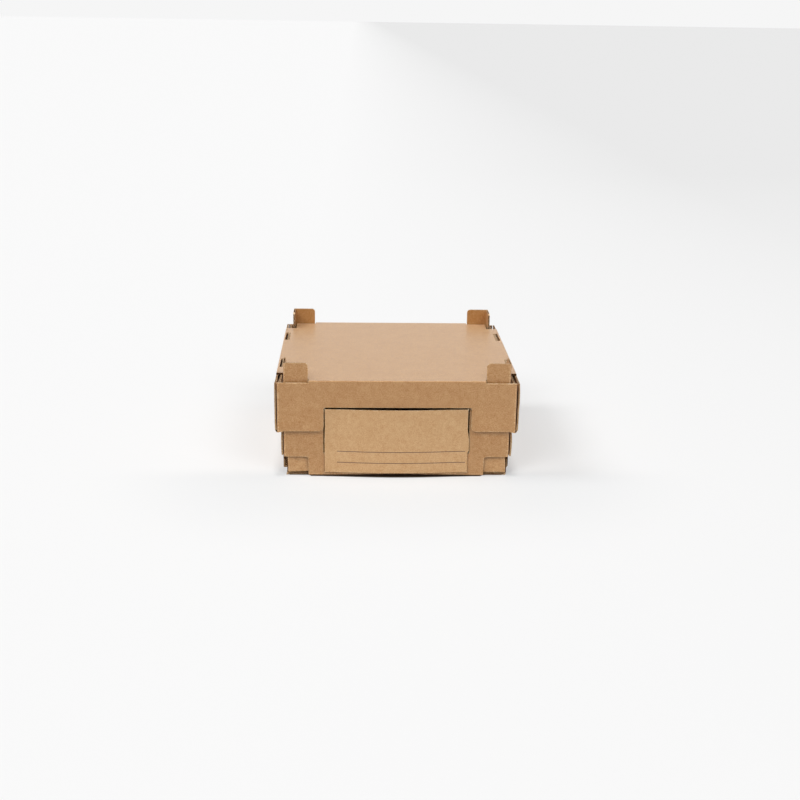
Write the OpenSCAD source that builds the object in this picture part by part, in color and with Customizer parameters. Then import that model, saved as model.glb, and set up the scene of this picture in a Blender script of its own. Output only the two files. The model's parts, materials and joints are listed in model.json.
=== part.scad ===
// Stackable delivery box of corrugated board: an open tray with L-shaped stacking tabs,
// a lift-off lid that the tabs pass through, and a label board on the front of the tray.
// The origin is on the ground below the middle of the tray. The front faces -Y.

/* [Board] */
// Thickness of the corrugated board
board_t = 3; // [2:0.1:4]
// Inside radius of a crease
crease_r = 0.4; // [0.2:0.1:1]
// Gap between a side wall's outer layer and the corner flap inside it
outer_gap = 0.6; // [0.3:0.1:1.5]
// Gap between the corner flap and the side wall's inner layer
inner_gap = 0.2; // [0.2:0.1:1.5]
// Gap between an inner layer's edge and the panel that it stands on or hangs from
edge_gap = 0.3; // [0.2:0.1:1]
// How far the side walls' ends stay behind the front and back faces
layer_set = 0.5; // [0:0.1:2]

/* [Tray] */
// Width of the tray over its side walls
tray_w = 381.6; // [340:0.1:460]
// Depth of the tray over the flat parts of its front and back walls
tray_d = 387.6; // [370:0.1:460]
// Height of the tray's walls, on which the lid rests
wall_h = 164.5; // [155:0.5:200]
// Length of the tray's corner flaps along the side walls
tray_flap_l = 110; // [60:1:130]
// How far the tray's corner flaps stay below the top of the walls
flap_drop = 8; // [7:0.5:30]
// How far the side walls are cut down beside the stacking tabs
shoulder_drop = 6.5; // [6.5:0.5:20]
// Length of that cut beyond a stacking tab
shoulder_past = 3; // [1:0.5:20]
// Length of the end flaps that turn in from the side walls' inner layers
end_flap_l = 55; // [46:1:60]
// Height of the end flaps' upper edge above the ground
end_flap_top = 140; // [80:1:150]
// Radius of the end flaps' free corners
end_flap_r = 8; // [2:1:20]
// Gap between an end flap and the wall that it stands behind
end_gap = 1; // [0.3:0.1:3]
// Height of the flaps' lower edges above the floor
flap_lift = 1.5; // [0.5:0.1:4]

/* [Front] */
// How far the front wall bows outwards in the middle
front_bow = 8; // [2:0.5:12]
// Distance from each corner at which the bow begins
bow_start = 37.2; // [25:0.1:50]
// Width of the wall that stays between each corner and the cut-out in the front wall
post_w = 65.2; // [50:0.1:80]
// Height of the sill below that cut-out
sill_h = 40; // [25:0.5:60]
// Radius in the corners of the cut-out
sill_r = 1; // [0.5:0.5:5]

/* [Stacking] */
// Length of each leg of an L-shaped stacking tab
tab_leg = 40; // [30:1:44]
// Height of the stacking tabs above the lid
tab_rise = 28.5; // [15:0.5:35]
// Radius of a stacking tab's upper corners
tab_r = 6; // [2:0.5:10]
// Room beside a stacking tab in the bottom notch of the next box
notch_play = 0.5; // [0.2:0.1:2]
// Room above a stacking tab in that notch
notch_headroom = 5.5; // [2:0.5:10]
// Radius of a bottom notch's upper corner
notch_r = 5; // [2:0.5:8]
// Further height of the notch in a side wall's outer layer
side_notch_more = 2.5; // [0:0.5:8]

/* [Lid] */
// Room between the tray's side walls and the lid
side_fit = 0.4; // [0.3:0.1:2]
// Room between the tray's front and back walls and the lid
front_fit = 3.2; // [2:0.1:6]
// Depth of the lid's front and back walls
lid_wall_h = 86.5; // [60:0.5:110]
// How far the rolled edges of the lid's side walls hang below them
side_hang = 1.5; // [0:0.5:4]
// Length of the lid's corner flaps along the side walls
lid_flap_l = 70; // [60:1:80]
// How far the lid's corner flaps stay below the top
lid_flap_drop = 12; // [8:0.5:20]
// Depth of the corner cut-outs in the top of the lid
corner_cut_h = 4; // [3.6:0.1:8]
// Room at a stacking tab's ends and behind its front leg in the corner cut-out
tab_play = 1.5; // [0.5:0.1:3]
// Room on the inner side of a stacking tab's side leg
leg_play = 3; // [0.5:0.1:6]
// Room between the label board and each side of the window in the lid's front wall
window_side = 2; // [0.5:0.1:4]
// Room between the label board and the top of the window
window_over = 3.7; // [1:0.1:8]
// Radius of the window's upper corners
window_r = 1; // [0.5:0.5:5]
// Radius of the two corners where the window opens downwards
window_foot_r = 8; // [2:0.5:15]

/* [Lock tabs] */
// Length of a lock tab along its side wall
lock_l = 52; // [30:1:60]
// Room at each end of a lock tab in its slot
lock_play = 0.5; // [0.3:0.1:2]
// Room in the slot on the inner side of a lock tab
slot_in = 1; // [0.3:0.1:2]
// Distance of a lock tab's middle from the middle of its side wall
lock_place = 91; // [70:1:100]

/* [Label board] */
// Thickness of the label board
label_t = 3; // [1:0.1:4]
// Thickness of the glue behind the label board
glue_t = 0.2; // [0.1:0.1:0.5]
// Room between the label board and each side of the tray's front cut-out
label_side = 2.7; // [2:0.1:20]
// Height of the label board
label_h = 110; // [90:0.5:115]
// Height of the label board's lower edge above the ground
label_lift = 8; // [4:0.1:9]
// Radius of the label board's corners
label_r = 2; // [0.5:0.5:6]

/* [Hidden] */
$fn = 48;
bow_fn = 720;
kraft = [0.70, 0.54, 0.39];
pale_kraft = [0.76, 0.61, 0.46];
// Length by which a cutting solid passes the surface that it cuts
past = 1;

// A folded crease takes the board round on this outside radius
fold_r = board_t + crease_r;
// A side wall holds three layers of board, and its rolled edge turns round all of them
stack_t = 3 * board_t + outer_gap + inner_gap;
roll_r = stack_t / 2;

tray_hw = tray_w / 2;
tray_hd = tray_d / 2;
tray_flap_x = tray_hw - board_t - outer_gap;
tray_inner_x = tray_hw - stack_t;
lid_top = wall_h + board_t;
tab_top = lid_top + tab_rise;
flap_low = board_t + flap_lift;
notch_leg = tab_leg + notch_play;
notch_h = tab_rise + notch_headroom;
end_flap_x = tray_inner_x + board_t;
end_flap_y = tray_hd - board_t - end_gap;
front_cut_hw = tray_flap_x - post_w;
label_hw = front_cut_hw - label_side;
label_top = label_lift + label_h;

lid_hw = tray_hw + side_fit + stack_t;
lid_hd = tray_hd + front_fit + board_t;
lid_flap_x = lid_hw - board_t - outer_gap;
lid_inner_x = lid_hw - stack_t;
lid_low = lid_top - lid_wall_h;
roll_z = lid_low - side_hang + roll_r;
cut_z = lid_top - corner_cut_h;
window_hw = label_hw + window_side;
window_top = label_top + window_over;

// The bow is made of arcs that turn over halfway to its ends, where they are tangent
bow_reach = tray_flap_x - bow_start;
bow_half = bow_reach / 2;
bow_r = (pow(bow_half, 2) + pow(front_bow / 2, 2)) / front_bow;
// Depth of the centres of the middle arc and of the end arcs
bow_y = bow_r - tray_hd - front_bow;
turn_y = -tray_hd - bow_r;

// Draws its children on both sides of the box.
module both_sides() {
    children();
    mirror([1, 0, 0]) children();
}

// Draws its children at the front and at the back.
module both_ends() {
    children();
    mirror([0, 1, 0]) children();
}

// Stands an X-Z outline up from depth y0 to depth y1.
module along_y(y0, y1) {
    translate([0, y1, 0]) rotate([90, 0, 0]) linear_extrude(y1 - y0) children();
}

// Stands a Y-Z outline up from x0 to x1.
module along_x(x0, x1) {
    translate([x0, 0, 0]) rotate([90, 0, 90]) linear_extrude(x1 - x0) children();
}

// A rectangle between two corners.
module panel(x0, y0, x1, y1) {
    translate([x0, y0]) square([x1 - x0, y1 - y0]);
}

// A rectangle between two corners, with its upper left corner rounded.
module tab_panel(x0, y0, x1, y1, r) {
    panel(x0, y0, x1, y1 - r);
    panel(x0 + r, y0, x1, y1);
    translate([x0 + r, y1 - r]) circle(r);
}

// A block between two corners.
module block(from, to) {
    translate(from) cube(to - from);
}

// Board bent round a crease, in the quadrant to the lower right of the crease's middle.
module bend(middle) {
    translate(middle) intersection() {
        difference() {
            circle(fold_r);
            circle(crease_r);
        }
        panel(0, -fold_r, fold_r, 0);
    }
}

// Board rolled over the three layers of a side wall, above the roll's middle.
module roll(middle) {
    translate(middle) intersection() {
        difference() {
            circle(roll_r);
            circle(roll_r - board_t);
        }
        panel(-roll_r, 0, roll_r, roll_r);
    }
}

// A vertical crease at the front right corner, from z0 to z1.
module corner_crease(x, y, z0, z1) {
    translate([0, 0, z0]) linear_extrude(z1 - z0) bend([x - fold_r, -y + fold_r]);
}

// Plan of the space in which the bow's middle arc holds.
module middle_space() {
    polygon([[0, bow_y], [bow_reach, turn_y], [-bow_reach, turn_y]]);
}

// Plan of the space in which the bow's right end arc holds.
module end_space() {
    polygon([[bow_reach, turn_y], [bow_reach, bow_y], [0, bow_y]]);
}

// Upright board on the bowed front, between two distances behind the wall's front face.
module bowed_board(front, back, height) {
    linear_extrude(height) intersection() {
        middle_space();
        translate([0, bow_y]) difference() {
            circle(bow_r - front, $fn = bow_fn);
            circle(bow_r - back, $fn = bow_fn);
        }
    }
    both_sides() linear_extrude(height) intersection() {
        end_space();
        translate([bow_reach, turn_y]) difference() {
            circle(bow_r + back, $fn = bow_fn);
            circle(bow_r + front, $fn = bow_fn);
        }
    }
}

// Bottom crease along the bowed front, with a strip of the floor.
module bowed_crease(strip) {
    intersection() {
        linear_extrude(fold_r) middle_space();
        translate([0, bow_y, 0]) rotate_extrude($fn = bow_fn)
            translate([bow_r, 0]) mirror([1, 0]) crease_section(strip);
    }
    both_sides() intersection() {
        linear_extrude(fold_r) end_space();
        translate([bow_reach, turn_y, 0]) rotate_extrude($fn = bow_fn)
            translate([bow_r, 0]) crease_section(strip);
    }
}

// Section of a bottom crease, with the wall's front at 0 and a strip of the floor.
module crease_section(strip) {
    mirror([1, 0]) bend([-fold_r, fold_r]);
    panel(fold_r, 0, fold_r + strip, board_t);
}

// Bottom notch below a stacking tab, cut inwards from the edge of a wall.
module notch_outline(edge, height) {
    tab_panel(edge - notch_leg, -past, edge + past, height, notch_r);
}

// Elevation of a whole end wall of the tray.
module end_wall_outline() {
    difference() {
        union() {
            panel(-tray_flap_x, 0, tray_flap_x, wall_h);
            both_sides()
                tab_panel(tray_flap_x - tab_leg, wall_h - past, tray_flap_x, tab_top, tab_r);
        }
        both_sides() notch_outline(tray_flap_x, notch_h);
    }
}

// Elevation of the cut-out in the front wall, rounded at its two lower corners.
module front_cut_outline() {
    mirror([0, 1]) both_sides()
        tab_panel(-front_cut_hw, -wall_h - past, 0, -sill_h, sill_r);
}

module tray_front_wall() {
    straight_end = tray_flap_x - fold_r;
    color(kraft) intersection() {
        union() {
            translate([0, 0, fold_r]) bowed_board(0, board_t, tab_top - fold_r);
            both_sides() block([bow_reach, -tray_hd, fold_r], [straight_end, board_t - tray_hd, tab_top]);
            bowed_crease(front_bow + board_t);
        }
        along_y(-tray_hd - bow_half, -tray_hd + bow_half) difference() {
            end_wall_outline();
            front_cut_outline();
        }
    }
}

module tray_back_wall() {
    straight_end = tray_flap_x - fold_r;
    color(kraft) intersection() {
        along_x(-straight_end, straight_end) translate([tray_hd, 0]) mirror([1, 0]) {
            panel(0, fold_r, board_t, tab_top);
            crease_section(board_t);
        }
        along_y(tray_hd - bow_half, tray_hd + past) end_wall_outline();
    }
}

// Corner flap in the right side wall at the front, with its tab, notch and crease.
module tray_corner() {
    color(kraft) {
        corner_crease(tray_flap_x, tray_hd, notch_h, tab_top);
        along_x(tray_flap_x - board_t, tray_flap_x) mirror([1, 0]) difference() {
            union() {
                panel(tray_hd - tray_flap_l, flap_low, tray_hd - fold_r, wall_h - flap_drop);
                tab_panel(tray_hd - tab_leg, wall_h - flap_drop - past, tray_hd - fold_r, tab_top, tab_r);
            }
            notch_outline(tray_hd, notch_h);
        }
    }
}

module lock_tab(inner_x, z0, z1) {
    both_ends() block([inner_x, lock_place - lock_l / 2, z0],
                      [inner_x + board_t, lock_place + lock_l / 2, z1]);
}

// Slot beside the inner layer, as wide as the space up to the outer layer.
module lock_slot(inner_x, outer_x, z0, z1) {
    slot_half = lock_l / 2 + lock_play;
    both_ends() block([inner_x - slot_in, lock_place - slot_half, z0],
                      [outer_x - board_t, lock_place + slot_half, z1]);
}

module tray_floor() {
    color(kraft) difference() {
        block([fold_r - tray_hw, -end_flap_y, 0], [tray_hw - fold_r, end_flap_y, board_t]);
        both_sides() {
            both_ends() block([end_flap_x, tray_hd - notch_leg, -past], [tray_hw, tray_hd, board_t + past]);
            lock_slot(tray_inner_x, tray_hw, -past, board_t + past);
        }
    }
}

// Outer layer of the right side wall with its bottom crease and its rolled upper edge.
module tray_outer_layer() {
    side_end = tray_hd - layer_set;
    difference() {
        along_y(-side_end, side_end) {
            bend([tray_hw - fold_r, fold_r]);
            panel(tray_hw - board_t, fold_r, tray_hw, wall_h - roll_r);
            roll([tray_hw - roll_r, wall_h - roll_r]);
        }
        along_x(tray_hw - fold_r - past, tray_hw + past) {
            both_sides() notch_outline(tray_hd, notch_h + side_notch_more);
        }
        lock_slot(tray_inner_x, tray_hw, -past, board_t);
    }
}

module tray_side_wall() {
    inner_end = end_flap_y - fold_r;
    shoulder_y = tray_hd - tab_leg - shoulder_past;
    color(kraft) difference() {
        union() {
            tray_outer_layer();
            block([tray_inner_x, -inner_end, board_t + edge_gap],
                  [tray_inner_x + board_t, inner_end, wall_h - roll_r]);
        }
        both_ends() block([tray_inner_x - past, shoulder_y, wall_h - shoulder_drop],
                          [tray_hw + past, tray_hd, wall_h + past]);
    }
    color(kraft) lock_tab(tray_inner_x, 0, board_t + edge_gap);
}

// End flap that the right inner layer turns in behind the front wall.
module end_flap() {
    color(kraft) {
        corner_crease(end_flap_x, end_flap_y, flap_low, end_flap_top);
        along_y(-end_flap_y, board_t - end_flap_y)
            tab_panel(end_flap_x - end_flap_l, flap_low, end_flap_x - fold_r, end_flap_top, end_flap_r);
    }
}

module tray() {
    tray_floor();
    tray_front_wall();
    tray_back_wall();
    both_sides() {
        tray_side_wall();
        both_ends() {
            tray_corner();
            end_flap();
        }
    }
}

// Top of the lid with its creases to the end walls and to the right and left side walls.
module lid_top_panel() {
    side_end = lid_hd - layer_set;
    color(kraft) {
        block([fold_r - lid_hw, fold_r - lid_hd, wall_h], [lid_hw - fold_r, lid_hd - fold_r, lid_top]);
        both_sides() along_y(-side_end, side_end)
            mirror([0, 1]) bend([lid_hw - fold_r, fold_r - lid_top]);
        both_ends() along_x(fold_r - lid_flap_x, lid_flap_x - fold_r)
            rotate(180) bend([lid_hd - fold_r, fold_r - lid_top]);
    }
}

module lid_end_wall() {
    color(kraft) block([fold_r - lid_flap_x, -lid_hd, lid_low],
                       [lid_flap_x - fold_r, board_t - lid_hd, lid_top - fold_r]);
}

// Window elevation with the rounded corners where it opens downwards.
module window_outline() {
    both_sides() {
        tab_panel(-window_hw, lid_low - past, 0, window_top, window_r);
        difference() {
            panel(window_hw - past, lid_low - past, window_hw + window_foot_r, lid_low + window_foot_r);
            translate([window_hw + window_foot_r, lid_low + window_foot_r]) circle(window_foot_r);
        }
    }
}

// Corner flap in the lid's right side wall at the front, with its crease.
module lid_corner() {
    color(kraft) {
        corner_crease(lid_flap_x, lid_hd, lid_low, cut_z);
        block([lid_flap_x - board_t, fold_r - lid_hd, roll_z + edge_gap],
              [lid_flap_x, lid_flap_l - lid_hd, lid_top - lid_flap_drop]);
    }
}

// Right side wall of the lid: outer layer, rolled lower edge and inner layer.
module lid_side_wall() {
    side_end = lid_hd - layer_set;
    inner_end = lid_hd - fold_r - edge_gap;
    color(kraft) {
        block([lid_hw - board_t, -side_end, roll_z], [lid_hw, side_end, lid_top - fold_r]);
        along_y(-inner_end, inner_end) {
            mirror([0, 1]) roll([lid_hw - roll_r, -roll_z]);
            panel(lid_inner_x, roll_z, lid_inner_x + board_t, wall_h - edge_gap);
        }
        lock_tab(lid_inner_x, wall_h - edge_gap, lid_top);
    }
}

// Room for the stacking tab in the lid's front right corner.
module corner_cut() {
    block([tray_flap_x - tab_leg - tab_play, -lid_hd - past, cut_z],
          [lid_hw + past, board_t + tab_play - tray_hd, lid_top + past]);
    block([tray_flap_x - board_t - leg_play, -lid_hd - past, cut_z],
          [lid_hw + past, tab_leg + tab_play - tray_hd, lid_top + past]);
}

module lid() {
    difference() {
        union() {
            difference() {
                lid_top_panel();
                both_sides() lock_slot(lid_inner_x, lid_hw, wall_h - past, lid_top + past);
            }
            both_ends() lid_end_wall();
            both_sides() {
                lid_side_wall();
                both_ends() lid_corner();
            }
        }
        both_sides() both_ends() corner_cut();
        along_y(-lid_hd - past, board_t + past - lid_hd) window_outline();
    }
}

// Elevation of the label board, rounded at its four corners.
module label_outline() {
    both_sides() {
        panel(0, label_lift, label_hw - label_r, label_top);
        panel(0, label_lift + label_r, label_hw, label_top - label_r);
        translate([label_hw - label_r, label_lift + label_r]) circle(label_r);
        translate([label_hw - label_r, label_top - label_r]) circle(label_r);
    }
}

module label_board() {
    color(pale_kraft) intersection() {
        bowed_board(-glue_t - label_t, -glue_t, wall_h);
        along_y(-tray_hd - bow_half, -tray_hd) label_outline();
    }
}

tray();
lid();
label_board();
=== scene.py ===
import json
import math

import bmesh
import bpy
from mathutils import Matrix, Vector

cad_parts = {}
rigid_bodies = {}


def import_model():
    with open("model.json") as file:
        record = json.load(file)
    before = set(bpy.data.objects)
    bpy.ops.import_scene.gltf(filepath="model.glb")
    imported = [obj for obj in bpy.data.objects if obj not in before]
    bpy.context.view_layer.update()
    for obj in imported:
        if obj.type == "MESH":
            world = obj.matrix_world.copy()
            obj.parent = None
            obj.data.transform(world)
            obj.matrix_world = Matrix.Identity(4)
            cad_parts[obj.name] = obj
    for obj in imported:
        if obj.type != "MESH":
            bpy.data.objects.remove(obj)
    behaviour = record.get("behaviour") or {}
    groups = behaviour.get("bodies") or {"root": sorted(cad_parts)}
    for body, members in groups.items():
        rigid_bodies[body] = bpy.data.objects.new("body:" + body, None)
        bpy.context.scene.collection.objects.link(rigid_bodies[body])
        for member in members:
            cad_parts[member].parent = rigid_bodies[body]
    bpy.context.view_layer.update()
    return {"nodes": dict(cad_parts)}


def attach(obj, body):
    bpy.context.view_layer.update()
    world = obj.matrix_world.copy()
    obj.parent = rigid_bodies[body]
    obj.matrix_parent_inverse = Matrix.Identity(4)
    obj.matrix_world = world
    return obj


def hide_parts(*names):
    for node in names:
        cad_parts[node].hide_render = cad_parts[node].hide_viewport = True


# Delivery box of corrugated board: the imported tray, lid and label board, dressed as real board.
# Lengths are in metres, except for the warps, which are in millimetres.
# The front faces -Y and the ground is z = 0.

for startupObject in list(bpy.data.objects):
    bpy.data.objects.remove(startupObject)
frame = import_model()
mm = 0.001
print("frame loaded")


def deselectAll():
    if bpy.context.object and bpy.context.object.mode != "OBJECT":
        bpy.ops.object.mode_set(mode="OBJECT")
    bpy.ops.object.select_all(action="DESELECT")


def makeActive(piece):
    deselectAll()
    piece.select_set(True)
    bpy.context.view_layer.objects.active = piece


def openForFaces(piece):
    # edit mode by faces, with nothing selected
    makeActive(piece)
    bpy.ops.object.mode_set(mode="EDIT")
    bpy.ops.mesh.select_mode(type="FACE")
    bpy.ops.mesh.select_all(action="DESELECT")
    return bmesh.from_edit_mesh(piece.data)


def applyModifiers(piece):
    makeActive(piece)
    for modifier in list(piece.modifiers):
        bpy.ops.object.modifier_apply(modifier=modifier.name)


def smoothStep(low, high, value):
    t = min(max((value - low) / (high - low), 0.0), 1.0)
    return t * t * (3 - 2 * t)


def fadeOut(low, high, value):
    return 1 - smoothStep(low, high, value)


def mix(low, high, amount):
    return low + (high - low) * amount


def profile(points, value):
    # straight lines between the given points
    if value <= points[0][0]:
        return points[0][1]
    for (x0, y0), (x1, y1) in zip(points, points[1:]):
        if value <= x1:
            return mix(y0, y1, (value - x0) / (x1 - x0))
    return points[-1][1]


def mainAxis(direction):
    return max(range(3), key=lambda axis: abs(direction[axis]))


# what all three pieces are made of
board = {
    "thickness": 3.0 * mm,
    "liner": 0.38 * mm,  # each of the two outer papers, as it shows in a cut edge
    "medium": 0.30 * mm,  # the fluted paper between them
    "pitch": 6.4 * mm,
    "stepsPerWave": 10,
    "hollowDepth": 2.4 * mm,  # how far one can look into the open flutes
    "mediumInset": 0.12 * mm,  # the fluted paper ends a little behind the cut
    "pressedDepth": 0.3 * mm,  # a cut along the flutes is pressed nearly shut
    "sunkInset": 0.01 * mm,  # the bottom of a sunk edge is this much narrower than its opening
    "rim": 0.5 * mm,  # paler edge of a liner beside a cut: worn paper and a painted highlight
    "longSpike": 3,  # an inset corner this many liners from its neighbour has shot out
    "mergeDistance": 1e-6,
    "flatAngle": math.radians(0.05),
    "smoothAngle": math.radians(35),
    "straightAngle": math.radians(5),  # an open edge is straight within this angle
    "cutMatch": 0.1,  # how well the area of a cut edge fits its outline
    "acrossShare": 0.8,  # of a cut's normal along the flutes, so that it opens them
    "levelShare": 0.5,  # of a cut's normal upwards or downwards
    "stripWidth": 1.4,  # an open edge is narrower than this many thicknesses
    "warpStep": 15 * mm,  # spacing of the cuts that let a flat panel warp
    "warpShift": 0.013,  # share of a step by which those cuts miss the panels' own edges
}

# material slots: the liner by the direction in which the flutes repeat, then the other papers
linerX, linerY, linerZ, paleFlapSlot, insideSlot, creaseSlot, rimSlot, acrossSlot = range(8)
grooveSlot, levelSlot, uprightSlot, mediumSlot, hollowSlot = range(8, 13)

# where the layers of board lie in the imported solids, in millimetres from the middle
layers = {
    "tray": {"flap": (184.1, 187.3), "endWall": 190.5, "inside": 190},
    "lid": {"flap": (194.3, 197.5), "endWall": 190.5, "inside": 200},
    "sideTop": 164,  # the side walls' faces above this height are open to view
    "endInside": 190,  # the end walls' faces nearer to the middle than this are hidden
    "facing": 0.9,  # a panel's normal along an axis is longer than this
    "endFlap": {"x": (128, 183), "y": (186.5, 190.7), "z": (3.5, 160)},
}

# the creases, in millimetres
folds = {
    "innerRadius": 0.4,
    "outerRadius": 3.4,
    "least": 0.01,  # a point nearer to the flat panels isn't on the crease
    "squareness": 6,  # exponent of the rounding: a crushed crease is sharper than a plain arc
    "slack": 0.05,
    "bowedSlack": 0.4,  # where the middle of a crease follows the bow
    "wornHighlightShare": 0.35,  # a point's smaller distance over its larger one, where the paper is worn and a highlight is painted
    "wornHighlightDepth": 0.4,
    "halfHeight": 80,  # level creases are below this height in the tray and above it in the lid
    # middle of each crease: axes, and the place in them on the positive side
    "lid": (((0, 1), (194.0, 196.6)), ((1, 2), (196.6, 164.1)), ((0, 2), (197.6, 164.1))),
    "tray": (
        ((0, 1), (183.8, 190.4)),
        ((0, 1), (180.6, 186.4)),
        ((0, 2), (187.4, 3.4)),
        ((1, 2), (190.4, 3.4)),
    ),
}

# the front wall's bow, and how deep it is left at the floor
bow = {"reach": 150.0, "depth": 8.0, "lowDepth": 5.0}

# faces painted dark with the flute hollows' colour as painted shade, in millimetres
shaded = {
    "facing": 0.6,
    # the far edge of each corner opening in the lid's top
    "lidTop": 163.5,
    "lidSide": 183,
    "lidDeep": (130, 170),
    # in the notches, the outer layer's cut edge and the outer side of the inner layer's fold
    "notchDeep": (120, 190.5),
    "notchHigh": (3.2, 36),
    "outerLayer": 187,
    "outerDeep": 165,
    "foldSide": 181.6,
    "foldFacing": 0.45,
}


def fluteAxis(node, point, boardNormal):
    # the flutes run along X in the flat sheet, and each fold carries them round
    if node == "label_board":
        return Vector((0, 0, 1))
    if boardNormal == 2:
        return Vector((1, 0, 0))
    if boardNormal == 1:
        return Vector((1, 0, 0)) if abs(point.y) > layers[node]["endWall"] else Vector((0, 0, 1))
    low, high = layers[node]["flap"]
    return Vector((0, 1, 0)) if low < abs(point.x) < high else Vector((0, 0, 1))


def bowShape(x):
    # two arcs that turn over halfway, as in the solids, close to a cosine
    return 0.5 + 0.5 * math.cos(math.pi * min(abs(x) / bow["reach"], 1))


def fromFold(point, axes, middle):
    # how far a point lies from the middle of a crease, outwards along both axes
    first, second = axes
    signs = [math.copysign(1, point[axis]) for axis in axes]
    if axes == (1, 2) and middle[1] < folds["halfHeight"] and point.y < 0:
        middle = (middle[0] + bow["depth"] * bowShape(point.x), middle[1])
    if second == 2:
        signs[1] = 1 if middle[1] > folds["halfHeight"] else -1
        out = (signs[0] * point[first] - middle[0], signs[1] * (point[2] - middle[1]))
    else:
        out = (signs[0] * point[first] - middle[0], signs[1] * point[second] - middle[1])
    return out, signs


def onCrease(node, point):
    # the outermost part of a crease, where the paper is worn and a highlight is painted
    for axes, middle in folds.get(node, ()):
        if axes != (0, 1) and (node, axes) != ("tray", (1, 2)):
            continue
        out, _ = fromFold(point, axes, middle)
        if not min(out) > folds["wornHighlightShare"] * max(out) > 0:
            continue
        if abs(math.hypot(*out) - folds["outerRadius"]) < folds["wornHighlightDepth"]:
            return True
    return False


def onEndFlap(point):
    spans = layers["endFlap"]
    places = {"x": abs(point.x), "y": abs(point.y), "z": point.z}
    return all(low < places[axis] < high for axis, (low, high) in spans.items())


def isShadedEdge(node, point, normal):
    wide, deep = abs(point.x), abs(point.y)
    if node == "lid":
        near, far = shaded["lidDeep"]
        atEdge = point.z > shaded["lidTop"] and wide > shaded["lidSide"] and near < deep < far
        return atEdge and abs(normal.y) > shaded["facing"]
    near, far = shaded["notchDeep"]
    low, high = shaded["notchHigh"]
    if not near <= deep <= far or not low < point.z < high:
        return False
    if wide > shaded["outerLayer"]:
        return abs(normal.y) > shaded["facing"] and deep < shaded["outerDeep"]
    outwards = normal.x * point.x > 0 and abs(normal.x) > shaded["foldFacing"]
    return wide > shaded["foldSide"] and outwards


def isInside(node, point, normal):
    # the inner faces of the walls and the faces between their layers
    facing = layers["facing"]
    if node == "label_board":
        return normal.y > facing
    if abs(normal.x) > facing:
        return abs(point.x) < layers[node]["inside"] and point.z < layers["sideTop"]
    if abs(normal.y) > facing:
        return point.y * normal.y < 0 or abs(point.y) < layers["endInside"]
    return normal.z > facing if node == "tray" else normal.z < -facing


def copyNode(node, name):
    piece = bpy.data.objects.new(name, frame["nodes"][node].data.copy())
    bpy.context.collection.objects.link(piece)
    piece.data.materials.clear()
    makeActive(piece)
    bpy.ops.mesh.customdata_custom_splitnormals_clear()
    bpy.ops.object.mode_set(mode="EDIT")
    bpy.ops.mesh.select_all(action="SELECT")
    bpy.ops.mesh.remove_doubles(threshold=board["mergeDistance"])
    bpy.ops.mesh.dissolve_limited(angle_limit=board["flatAngle"])
    bpy.ops.object.mode_set(mode="OBJECT")
    return piece


def takeGroup(waiting, angle):
    # takes out of the waiting faces one group that runs on without a sharp edge
    start = next(iter(waiting))
    del waiting[start]
    group, todo = [start], [start]
    while todo:
        face = todo.pop()
        for edge in face.edges:
            for other in edge.link_faces:
                if other in waiting and face.normal.angle(other.normal, 0) < angle:
                    del waiting[other]
                    group.append(other)
                    todo.append(other)
    return group


def isCutEdge(patch):
    # a strip or a closed ring as wide as the board is thick
    inPatch = set(patch)
    area = sum(face.calc_area() for face in patch)
    rim = sum(
        edge.calc_length()
        for face in patch
        for edge in face.edges
        if any(other not in inPatch for other in edge.link_faces)
    )
    thickness = board["thickness"]
    strip = thickness * (rim - 2 * thickness) / 2
    ring = thickness * rim / 2
    return min(abs(area - strip), abs(area - ring)) < board["cutMatch"] * area


def linerSlot(node, face, middle):
    if onCrease(node, middle):
        return creaseSlot
    if node == "tray" and onEndFlap(middle):
        return paleFlapSlot
    if isInside(node, middle, face.normal):
        return insideSlot
    facing = mainAxis(face.normal)
    repeat = 3 - facing - mainAxis(fluteAxis(node, middle, facing))
    return (linerX, linerY, linerZ)[repeat]


def cutSlot(node, face, middle, cuts):
    # the liners beside a cut edge tell which way its board faces
    sides = [0.0, 0.0, 0.0]
    for edge in face.edges:
        for other in edge.link_faces:
            if other not in cuts:
                for axis in range(3):
                    sides[axis] += abs(other.normal[axis]) * edge.calc_length()
    flutes = fluteAxis(node, middle, sides.index(max(sides)))
    if abs(face.normal.dot(flutes)) > board["acrossShare"]:
        return acrossSlot
    if abs(face.normal.z) > board["levelShare"]:
        return levelSlot
    return grooveSlot if middle.z < board["thickness"] / mm else uprightSlot


def markBoard(piece, node):
    # tells liners from cut edges and gives each face its material slot
    mesh = bmesh.new()
    mesh.from_mesh(piece.data)
    mesh.normal_update()
    waiting = dict.fromkeys(mesh.faces)
    cuts = set()
    while waiting:
        patch = takeGroup(waiting, board["smoothAngle"])
        if isCutEdge(patch):
            cuts |= set(patch)
    for face in mesh.faces:
        middle = face.calc_center_median() / mm
        if face in cuts:
            face.material_index = cutSlot(node, face, middle, cuts)
        else:
            face.material_index = linerSlot(node, face, middle)
    mesh.to_mesh(piece.data)
    mesh.free()


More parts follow.
